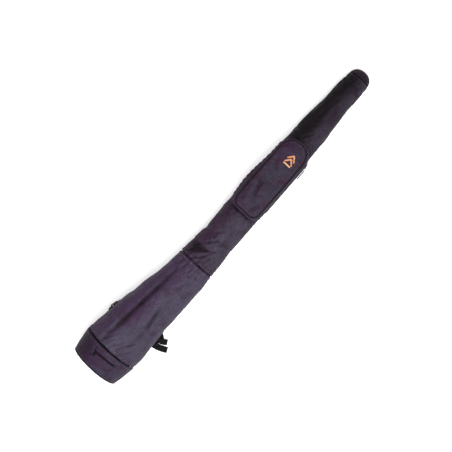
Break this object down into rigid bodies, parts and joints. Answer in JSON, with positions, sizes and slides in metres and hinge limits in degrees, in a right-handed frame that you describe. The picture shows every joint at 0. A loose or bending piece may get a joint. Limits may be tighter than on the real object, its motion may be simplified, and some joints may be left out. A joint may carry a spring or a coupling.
{
  "type": "cue case",
  "caption": "Long soft padded carrying case that flares from a narrow tip to a zipped round end cap, with a zipped front pocket and two backpack straps.",
  "frame": {"origin": "centre of the flat base disc of the end cap", "axes": "+X along the case from the base to the tip, +Z towards the pocket side, +Y across, to the left when looking from the base to the tip with the pocket up"},
  "size_m": [1.5, 0.2809, 0.2256],
  "materials": {
    "tube_nylon": "woven nylon, dull sheen",
    "flare_nylon": "woven nylon, dull sheen",
    "tip_nylon": "woven nylon, dull",
    "pocket_nylon": "woven nylon, dull sheen",
    "piping": "bound cord",
    "foam": "closed cell foam",
    "lining": "brushed lining",
    "hoop_plastic": "moulded",
    "fibreboard": "pressed board",
    "zip_tape": "woven tape",
    "zip_coil": "nylon coil",
    "zip_metal": "blackened die-cast",
    "cord": "braided cord",
    "embroidery": "satin stitch",
    "webbing": "ribbed webbing",
    "strap_mesh": "padded nylon",
    "buckle_plastic": "moulded acetal"
  },
  "bodies": {
    "case": {"tube_shell": "tube_nylon", "flare_shell": "flare_nylon", "tip_panel": "tip_nylon", "tip_piping": "piping", "tube_foam": "foam", "flare_foam": "foam", "tip_foam": "foam", "tube_lining": "lining", "flare_lining": "lining", "join_seam_tape": "lining", "mouth_hoop": "hoop_plastic", "mouth_binding": "lining", "mouth_zip_tape": "zip_tape", "mouth_zip_coil": "zip_coil", "mouth_zip_stops": "zip_metal", "hinge_strip_case": "flare_nylon", "pocket_gusset": "pocket_nylon", "pocket_panel": "pocket_nylon", "pocket_padding": "foam", "pocket_lining": "lining", "pocket_piping": "piping", "pocket_zip_tape": "zip_tape", "pocket_zip_coil": "zip_coil", "pocket_zip_stops": "zip_metal", "emblem_patch": "embroidery", "back_yoke": "webbing", "anchor_loop_left": "webbing", "anchor_loop_right": "webbing"},
    "end_cap": {"cap_wall": "flare_nylon", "cap_base": "hoop_plastic", "cap_board": "fibreboard", "cap_foam": "foam", "cap_lining": "lining", "cap_piping": "piping", "cap_zip_tape": "zip_tape", "cap_zip_coil": "zip_coil", "hinge_strip_cap": "flare_nylon"},
    "cap_slider": {"cap_slider": "zip_metal"},
    "cap_pull": {"cap_pull": "zip_metal"},
    "pocket_slider": {"pocket_slider": "zip_metal"},
    "pocket_pull": {"pocket_pull": "zip_metal", "pull_cord": "cord"},
    "strap_left": {"strap_pad_left": "strap_mesh", "strap_webbing_left": "webbing"},
    "strap_right": {"strap_pad_right": "strap_mesh", "strap_webbing_right": "webbing"},
    "buckle_left": {"ladder_lock_left": "buckle_plastic", "strap_tail_left": "webbing"},
    "buckle_right": {"ladder_lock_right": "buckle_plastic", "strap_tail_right": "webbing"}
  },
  "joints": [
    {"name": "end_cap_hinge", "type": "hinge", "parent": "case", "child": "end_cap", "pos_m": [0.0945, -0.1135, 0], "axis": [0, 0, 1], "range_deg": [0, 110]},
    {"name": "cap_zip_travel", "type": "hinge", "parent": "case", "child": "cap_slider", "pos_m": [0.0945, 0, 0], "axis": [1, 0, 0], "range_deg": [0, 290.5]},
    {"name": "cap_pull_flip", "type": "hinge", "parent": "cap_slider", "child": "cap_pull", "pos_m": [0.0973, -0.09762, -0.0634], "axis": [1, 0, 0], "range_deg": [0, 150]},
    {"name": "pocket_zip_travel", "type": "slide", "parent": "case", "child": "pocket_slider", "axis": [-0.9996, -0.0295, 0], "range_m": [0, 0.219]},
    {"name": "pocket_pull_swing", "type": "hinge", "parent": "pocket_slider", "child": "pocket_pull", "pos_m": [1.07319, -0.08235, 0.004], "axis": [0, 0, 1], "range_deg": [0, 160]},
    {"name": "strap_left_swing", "type": "hinge", "parent": "case", "child": "strap_left", "pos_m": [0.24, 0.066, -0.106], "axis": [0.9989, -0.0473, 0], "range_deg": [0, 170]},
    {"name": "strap_right_swing", "type": "hinge", "parent": "case", "child": "strap_right", "pos_m": [0.24, -0.106, -0.106], "axis": [-0.9973, -0.0735, 0], "range_deg": [0, 170]},
    {"name": "buckle_left_tilt", "type": "hinge", "parent": "case", "child": "buckle_left", "pos_m": [0.19, 0.097, -0.1005], "axis": [-0.2079, -0.9781, 0], "range_deg": [-30, 0]},
    {"name": "buckle_right_tilt", "type": "hinge", "parent": "case", "child": "buckle_right", "pos_m": [0.192, -0.096, -0.1005], "axis": [-0.5736, -0.8192, 0], "range_deg": [0, 45]}
  ],
  "couplings": [
    {"joint": "cap_zip_travel", "follows": "end_cap_hinge", "ratio": 2.6364}
  ]
}
